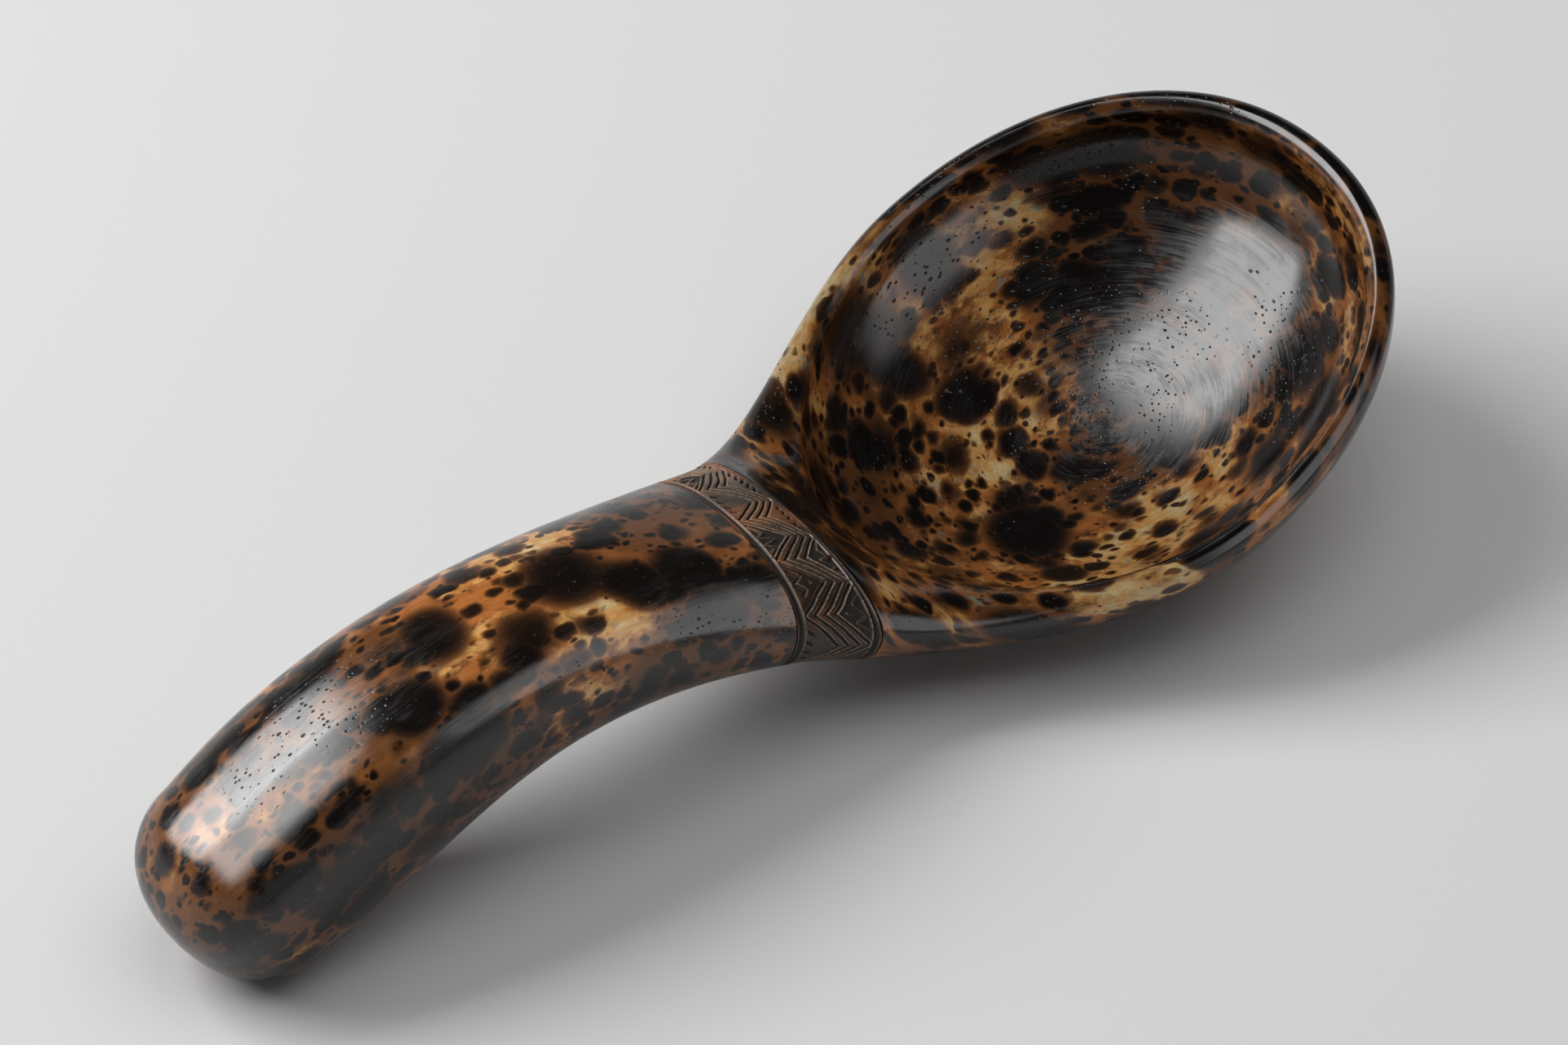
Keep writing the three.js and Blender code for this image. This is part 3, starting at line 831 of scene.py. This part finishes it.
def rubOnBowl(points, angle):
    # Marks run around the hollow: slow by the angle, and fast by the length of wall from the hollow's middle
    steps = np.linalg.norm(np.diff(points[::-1], axis=0), axis=-1)
    wall = np.concatenate([np.zeros((1, len(angle))), np.cumsum(steps, axis=0)])[::-1]
    turns = bowlMesh["rubTurns"]
    return np.stack([turns * np.cos(angle) + 0 * wall, turns * np.sin(angle) + 0 * wall, wall], -1)


def prism(name, outline, levels):
    # An outline drawn about the neck's centre, along the neck, between two levels
    count = len(outline)
    x = np.concatenate([outline[:, 0]] * 2)
    y = np.concatenate([outline[:, 1]] * 2)
    z = np.repeat(levels, count)
    ahead = x * math.cos(neckTilt) + z * math.sin(neckTilt)
    up = z * math.cos(neckTilt) - x * math.sin(neckTilt) - rim["neckDrop"]
    points = np.stack([ahead, y, up], -1)
    faces = [list(range(count))[::-1], list(range(count, 2 * count))]
    faces += [[i, (i + 1) % count, count + (i + 1) % count, count + i] for i in range(count)]
    mesh = bpy.data.meshes.new(name)
    mesh.from_pydata(toFrame(points).tolist(), [], faces)
    mesh.update()
    return addObject(name, mesh)


def tongueTool(name, extra):
    # The flat tongue, rounded at its end. With extra it is the slot that the tongue lies in
    half = splice["tongueWidth"] / 2 + extra
    end = half - splice["tongueLength"] - extra
    turn = np.linspace(np.pi / 2, 3 * np.pi / 2, 33)
    rounded = np.stack([end + half * np.cos(turn), half * np.sin(turn)], -1)
    root = splice["tongueRoot"]
    outline = np.concatenate([[[root, -half], [root, half]], rounded])[::-1]
    level = splice["tongueThickness"] / 2 + extra
    return prism(name, outline, (-level, level))


def drillPins(piece):
    # The two holes for the splice pins, square to the neck
    turn = np.linspace(0, 2 * np.pi, 49)[:-1]
    gap = splice["clearance"]
    radius = splice["pinRadius"] + gap
    for offset in (splice["pinOffset"], -splice["pinOffset"]):
        outline = np.stack([offset + radius * np.cos(turn), radius * np.sin(turn)], -1)
        core = neckSection(offset, splice["wall"] + gap)
        levels = -float(core["down"]) - gap, float(core["up"]) + gap
        carve(piece, prism("pinHole", outline, levels), "DIFFERENCE")


points, radii, angle, poles = bowlGrid()
spoonShift["x"] = 1000 * cadBox[1][0] - points[..., 0].max()
bowlValues = {
    "grainPlace": grainOnBowl(points, radii, angle),
    "tone": bowlTones(radii, angle),
    "rubPlace": rubOnBowl(points, angle),
}
bowlShape = meshFromGrid("bowlHorn", toFrame(points), toFrame(poles), values=bowlValues)
bowl = placePiece("hornBowl", bowlShape, bowlHorn)
carve(bowl, tongueTool("tongue", 0), "UNION")
drillPins(bowl)
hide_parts("bowl")
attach(bowl, "root")
print("bowl made")


# Grip

gripMesh = {
    "sides": 300,
    "coreSteps": 8,
    "steps": 230,
    "domeSteps": 60,
    "lengthening": 1.35,  # spots are this much longer along the grip than across it
    "rubStretch": 25,  # the same for rubbing marks
    "marks": (  # distance from the collar's middle and degrees round it, reach, softness and tones
        ((44, 95), (7, 20), 0.6, (0, 0, 1.1)),
        ((34, 114), (5.2, 16), 0.5, (0, 0, 1.1)),
        ((22, 112), (4, 13), 0.5, (0, 0, 1.1)),
        ((58, 127), (3.6, 12), 0.6, (0, 0, 1.1)),
        ((68, 135), (3.2, 10), 0.6, (0, 0, 1.1)),
        ((66, 92), (4.8, 15), 0.6, (0, 0, 1.1)),
        ((76, 118), (4.6, 15), 0.6, (0, 0, 1.1)),
        ((44, 68), (9, 22), 0.8, (-1.1, 0.13, 0)),
        ((42, 122), (9, 20), 0.8, (-1.0, 0.12, 0)),
        ((57, 95), (9, 34), 0.8, (-1.1, 0, 0)),
        ((22, 70), (12, 40), 0.8, (0.6, 0, 0)),
        ((18, 150), (14, 26), 0.8, (0.7, 0, 0)),
        ((53, 176), (9, 20), 0.8, (-0.6, 0.12, 0)),
        # this mark and the next darken the flank that faces the camera: partly the horn's own dark, partly
        # painted shade
        ((36, 196), (12, 26), 0.8, (1.0, 0, 0)),
        ((80, 172), (16, 24), 0.8, (1.1, 0, 0)),
        ((84, 138), (22, 18), 0.8, (0.1, 0, 0)),
        ((96, 95), (18, 32), 0.8, (0.25, 0.01, 0)),
        ((60, 120), (90, 160), 0.6, (0.2, -0.02, 0)),
        # darkens the flank that faces the camera: partly the horn's own dark, partly painted shade
        ((104, 152), (14, 24), 0.8, (1.4, -0.05, 0)),
        ((122, 90), (9, 300), 0.8, (0.4, 0, 0)),
        ((101, 96), (4.5, 13), 0.6, (0, 0, -1)),
    ),
}


def gripGrid():
    # The core under the collar, the shoulder, the arched grip along its centre line, and the domed butt
    coreDistance = np.linspace(splice["clearance"] - halfCollar, halfCollar, gripMesh["coreSteps"])
    core = neckSection(-coreDistance, splice["wall"] + splice["clearance"])
    distance = np.linspace(halfCollar, gripReach, gripMesh["steps"])
    body = gripSection(distance)
    turn = np.linspace(0, np.pi / 2, gripMesh["domeSteps"] + 1)[1:-1]
    reach = grip["dome"] * np.sin(turn) ** (2 / grip["domePower"])
    share = np.cos(turn) ** (2 / grip["domePower"])
    end = gripSection(np.full(len(turn), gripReach))
    outward = direction(180 + grip["buttAngle"])
    end["x"] = end["x"] + outward[0] * reach
    end["z"] = end["z"] + outward[1] * reach
    for key in ("width", "up", "down"):
        end[key] = end[key] * share
    angle = np.linspace(0, 2 * np.pi, gripMesh["sides"] + 1)[:-1]
    rings, side, height = ringPoints(joinSections(core, body, end), angle)
    along = np.concatenate([coreDistance, distance, gripReach + reach])[:, None] + 0 * side
    grain = np.stack([along / gripMesh["lengthening"], side, height], -1)
    rub = np.stack([along / gripMesh["rubStretch"], side, height], -1)
    tone = markTones(along, np.degrees(angle)[None] + 0 * along, gripMesh["marks"])
    front = [core["x"][0], 0, core["z"][0]]
    back = [buttCentre[0] + outward[0] * grip["dome"], 0, buttCentre[1] + outward[1] * grip["dome"]]
    ends = [[coreDistance[0], 0, 0], [(gripReach + grip["dome"]) / gripMesh["lengthening"], 0, 0]]
    values = {"grainPlace": np.concatenate([grain.reshape(-1, 3), ends]), "rubPlace": rub, "tone": tone}
    return rings, values, [front, back]


rings, gripValues, ends = gripGrid()
gripShape = meshFromGrid("gripHorn", toFrame(rings), toFrame(ends), values=gripValues)
handle = placePiece("hornGrip", gripShape, gripHorn)
carve(handle, tongueTool("slot", splice["clearance"]), "DIFFERENCE")
drillPins(handle)
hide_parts("handle")
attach(handle, "root")
print("grip made")


# Collar

band = {
    "columns": 860,
    "rows": 108,
    "boreRows": 5,
    "ridge": 0.3,  # left standing at each border
    "trough": 1.2,  # width of the trough inside it
    "troughDepth": 0.4,
    "troughFade": (-0.05, 0.22),
    "inner": 0.35,  # ridge between the trough and the field
    "ground": 0.08,  # depth of the field
    "groundFade": (-0.05, 0.1),
    "points": 10,  # of the zigzag, towards the bowl
    "swing": 3.55,  # of its middle line, each way
    "lines": 4,
    "pitch": 2.1,  # from one line to the next, along the collar
    "lineWidth": 1.15,
    "lineDepth": 0.48,
    "lineSteepness": 1.4,  # above 1, the line has a flat bottom
    "wander": 0.35,  # by how much the graver's hand strays along the zigzag
    "wanderWaves": ((3, 0, 1, 1), (7, 0, 2, 0.6), (13, 0, 0, 0.5)),
    "waver": 0.05,  # and across it
    "waverWaves": ((17, 0, 3, 1), (29, 0, 0, 1), (5, 2.2, 0, 0.7)),
    "fieldGap": 0.12,  # from the outer lines to the fields beside them
    "fieldFade": 0.22,
    "strokeWidth": 0.62,
    "strokeFade": (0.1, -0.16),
    "strokeDepth": 0.3,
    "strokeHeight": 0.85,  # of a standing stroke, as a share of the depth around it
    "wearReach": 3,  # cells
    "wearDepth": 0.16,
    "amberPlaces": ((28.5, 5.5, 1), (9, 3, 0.6), (88, 6, 0.9)),  # where it is thin: place, reach, strength
    "bowlFields": ("strokes", "strokes", "dashes", "squiggle", "chevrons") * 2,
    "gripFields": ("dashes", "squiggle", "dashes", "squiggle", "steps") * 2,
}

motifs = {  # depth of the ground, whether the strokes stand up from it, and each stroke's corners
    "strokes": (0.08, False, [[(k, 0.3), (k + 1.1, 2.1)] for k in (-3.9, -2.3, -0.7, 0.9, 2.5)]),
    "dashes": (0.08, False, [[(k, 0.5), (k + 0.5, 1.5)] for k in (-3, -1.2, 0.6, 2.4)]),
    "squiggle": (
        0.36,
        True,
        [[(-3.7, 0.5), (-1.7, 2.1), (-0.5, 0.3), (0.5, 3.4), (1.8, 0.6), (2.8, 2.1), (3.8, 0.5)]],
    ),
    "steps": (
        0.08,
        False,
        [[(-2.9, 0.6), (-1.4, 2.3), (0.1, 0.3), (1.6, 2.2), (2.6, 1.1)], [(-0.2, 3.4), (0.2, 3.6)]],
    ),
    "chevrons": (
        0.3,
        True,
        [[(-3, 0.4), (-1.6, 2.4), (-0.2, 0.4)], [(0.4, 0.4), (1.7, 2.6), (3, 0.4)], [(0, 3), (0, 4.4)]],
    ),
}


def bandAngles():
    # Angles that share out the middle ring's length evenly
    fine = np.linspace(0, 2 * np.pi, 20001)
    ring = ringPoints(neckSection(np.array([0.0])), fine)[0][0]
    length = np.append(0, np.cumsum(np.linalg.norm(np.diff(ring, axis=0), axis=1)))
    places = np.linspace(0, length[-1], band["columns"] + 1)[:-1]
    return np.interp(places, length, fine), places, length[-1]


def lineDistance(across, away, line):
    # Distance to the nearest of the line's straight pieces: the share along each is kept between 0 and 1
    nearest = np.full(across.shape, np.inf)
    for (ax, ay), (bx, by) in zip(line[:-1], line[1:]):
        dx, dy = bx - ax, by - ay
        share = np.clip(((across - ax) * dx + (away - ay) * dy) / (dx**2 + dy**2), 0, 1)
        nearest = np.minimum(nearest, np.hypot(across - ax - share * dx, away - ay - share * dy))
    return nearest


def handWaves(waves, turn, along):
    # An unsteady hand as a sum of sines: waves in a turn, radians in a millimetre along, phase and strength
    return sum(size * np.sin(count * turn + rate * along + phase) for count, rate, phase, size in waves)


def bandRelief(around, along, total):
    # Depth of the carving, by the length round the collar and the place along it
    turn = 2 * np.pi * around / total
    border = halfCollar - splice["clearance"] - np.abs(along)  # distance in from the nearer border
    around = around + band["wander"] * handWaves(band["wanderWaves"], turn, along)
    along = along + band["waver"] * handWaves(band["waverWaves"], turn, along)
    fieldStart = band["ridge"] + band["trough"] + band["inner"]
    inTrough = np.minimum(border - band["ridge"], band["ridge"] + band["trough"] - border)
    depth = band["troughDepth"] * smoothStep(inTrough, *band["troughFade"])
    inField = smoothStep(border - fieldStart, *band["groundFade"])
    depth = depth + band["ground"] * inField

    # The zigzag's middle line is a triangle wave, and the others lie beside it
    period = total / band["points"]
    phase = (around / period) % 1
    middle = band["swing"] * (4 * np.abs(phase - 0.5) - 1)
    reach = (band["lines"] - 1) / 2 * band["pitch"]
    for line in np.linspace(-reach, reach, band["lines"]):
        groove = 1 - np.abs(along - middle - line) / (band["lineWidth"] / 2)
        groove = np.clip(band["lineSteepness"] * groove, 0, 1)
        depth = np.maximum(depth, band["lineDepth"] * inField * groove)

    # The fields beside the zigzag, each with its own marks
    outside = reach + band["lineWidth"] / 2 + band["fieldGap"]
    away = border - fieldStart
    halfStroke = band["strokeWidth"] / 2
    strokeEdges = [halfStroke + fade for fade in band["strokeFade"]]
    for side, names, first in ((1, band["bowlFields"], 0.5), (-1, band["gripFields"], 0.0)):
        inside = smoothStep(side * (along - middle) - outside, 0, band["fieldFade"]) * inField
        for number, name in enumerate(names):
            ground, raised, lines = motifs[name]
            offset = (around - (number + first) * period + total / 2) % total - total / 2
            here = inside * (np.abs(offset) < period / 2)
            near = np.min([lineDistance(offset, away, line) for line in lines], axis=0)
            stroke = smoothStep(near, *strokeEdges)
            lifted = ground * (1 - band["strokeHeight"] * stroke)
            cut = lifted if raised else ground + band["strokeDepth"] * stroke
            depth = np.where(here > 0, np.maximum(depth, cut * here), depth)
    return depth


def wearAndGlintEdges(depth):
    # Pale edges, partly wear and partly a painted glint on the ridges: where the carving around lies deeper
    # than the place itself, the mean depth over a few cells less its own
    mean = depth
    for shift in range(1, band["wearReach"] + 1):
        mean = mean + np.roll(depth, shift, 1) + np.roll(depth, -shift, 1)
        mean = mean + np.roll(depth, shift, 0) + np.roll(depth, -shift, 0)
    return np.clip((mean / (4 * band["wearReach"] + 1) - depth) / band["wearDepth"], 0, 1)


def collarGrid():
    half = halfCollar - splice["clearance"]
    angle, around, total = bandAngles()
    along = np.linspace(-half, half, band["rows"])
    outer, side, height = ringPoints(neckSection(along), angle)
    tangentA = np.gradient(outer, axis=0)
    tangentB = np.roll(outer, -1, 1) - np.roll(outer, 1, 1)
    normal = np.cross(tangentB, tangentA)
    normal /= np.linalg.norm(normal, axis=-1, keepdims=True)
    outward = np.sign((normal * (outer - outer.mean(1, keepdims=True))).sum(-1, keepdims=True))
    depth = bandRelief(around[None], along[:, None], total)
    surface = outer - normal * outward * depth[..., None]
    boreRows = band["boreRows"]
    bore = ringPoints(neckSection(np.linspace(half, -half, boreRows), splice["wall"]), angle)[0]
    grain = np.stack([-along[:, None] / gripMesh["lengthening"] + 0 * side, side, height], -1)
    amber = 0 * depth
    for spot, reach, strength in band["amberPlaces"]:
        amber += strength * np.exp(-(((around - spot) / reach) ** 2))
    cut = np.stack([depth, wearAndGlintEdges(depth), amber], -1)
    values = {
        "grainPlace": np.concatenate([grain, np.repeat(grain[:1], boreRows, axis=0)]),
        "cut": np.concatenate([cut, np.repeat(0 * cut[:1], boreRows, axis=0)]),
    }
    return np.concatenate([surface, bore]), values


grid, values = collarGrid()
collarShape = meshFromGrid("carvedCollar", toFrame(grid), tubular=True, values=values)
collar = placePiece("carvedCollar", collarShape, carvedHorn, 60)
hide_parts("neck_collar")
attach(collar, "root")
print("collar made")


# Splice pins, hidden inside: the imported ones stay

for name in ("splice_pin_front", "splice_pin_rear"):
    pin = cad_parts[name]
    pin.data.materials.clear()
    pin.data.materials.append(pinHorn)


# Floor, light and world

studio = {
    "floor": "#dcdcdc",
    "flat": 1300,  # radius of the level floor
    "sweep": 800,  # radius of the curve that turns it up into a low backdrop
    "worldLight": 0.03,
}


def addFloor():
    # A profile turned about Z: level, then a quarter circle
    turn = np.linspace(0, np.pi / 2, 25)
    radius = np.concatenate([[0, studio["flat"] / 2], studio["flat"] + studio["sweep"] * np.sin(turn)])
    height = np.concatenate([[0, 0], studio["sweep"] * (1 - np.cos(turn))])
    around = -np.linspace(0, 2 * np.pi, 97)[:-1]
    x = radius[1:, None] * np.cos(around)
    y = radius[1:, None] * np.sin(around)
    z = height[1:, None] + 0 * x
    mesh = meshFromGrid("floor", np.stack([x, y, z], -1) * 0.001, np.zeros((1, 3)))
    mesh.shade_smooth()
    material, tree = newMaterial("paperSweep")
    finish = {"Base Color": linear(studio["floor"]), "Roughness": 0.9, "Specular IOR Level": 0.2}
    addSurface(tree, finish)
    mesh.materials.append(material)
    item = addObject("floor", mesh)
    return item


floor = addFloor()

lamps = {  # place, size, turn about the beam in degrees, and brightness in W per square metre and steradian
    "key": {
        "place": (-740, 1003, 1151), "size": (1440, 990), "turn": -41, "radiance": 8.5, "edge": 0.7,
    },
    "gripTop": {
        "place": (-400, 60, 640), "size": (1150, 600), "radiance": 7.2, "edge": 0.35,
        "only": (handle, collar),
    },
    "gripCard": {
        "place": (620, -560, 440), "size": (1400, 560), "radiance": 1.9, "edge": 0.92,
        "only": (handle,),
    },
    "bowlCard": {
        "place": (195, -600, 492), "size": (1000, 950), "radiance": 1.7, "edge": 0.5,
        "only": (bowl,),
    },
    "floorFill": {
        "place": (300, -200, 1500), "size": (1800, 1800), "radiance": 1.45, "edge": 0.6,
        "only": (floor,),
    },
}


def addLamp(name, lamp):
    # A softbox that faces the spoon and fades from "edge", a share of its half size. An area lamp's watts are
    # its radiance times pi times its area. A lamp with "only" lights those pieces alone
    size = np.array(lamp["size"]) * 0.001
    data = bpy.data.lights.new(name, "AREA")
    data.shape = "RECTANGLE"
    data.size, data.size_y = size
    data.energy = lamp["radiance"] * math.pi * size[0] * size[1]
    data.use_nodes = True
    tree = data.node_tree
    tree.nodes.clear()
    face = addNode(tree, "NewGeometry")["Parametric"]
    centring = {0: face, 1: (2, 2, 0), 2: (-1, -1, 0)}
    centred = addNode(tree, "VectorMath", centring, operation="MULTIPLY_ADD")[0]
    away = addNode(tree, "VectorMath", {0: centred}, operation="ABSOLUTE")[0]
    strength = 1.0
    for side in addNode(tree, "SeparateXYZ", {0: away})[:2]:
        fade = {"Value": side, "From Min": lamp["edge"], "From Max": 1.0, "To Min": 1.0, "To Max": 0.0}
        faded = addNode(tree, "MapRange", fade, **smooth)[0]
        strength = addNode(tree, "Math", {0: faded, 1: strength}, operation="MULTIPLY")[0]
    glow = addNode(tree, "Emission", {"Strength": strength})
    addNode(tree, "OutputLight", {0: glow[0]})
    softbox = addObject(name, data)
    softbox.location = Vector(lamp["place"]) * 0.001
    aim = (-softbox.location).to_track_quat("-Z", "Y")
    softbox.rotation_euler = (aim @ Quaternion((0, 0, 1), math.radians(lamp.get("turn", 0)))).to_euler()
    softbox.visible_camera = False
    if "only" in lamp:
        lit = bpy.data.collections.new(name)
        for piece in lamp["only"]:
            lit.objects.link(piece)
        softbox.light_linking.receiver_collection = lit


for name, lamp in lamps.items():
    addLamp(name, lamp)

world = bpy.data.worlds.new("studio")
world.use_nodes = True
world.node_tree.nodes.clear()
even = {"Color": (1, 1, 1, 1), "Strength": studio["worldLight"]}
glow = addNode(world.node_tree, "Background", even)
addNode(world.node_tree, "OutputWorld", {"Surface": glow[0]})
bpy.context.scene.world = world
bpy.context.scene.view_settings.view_transform = "Standard"
print("studio lit")
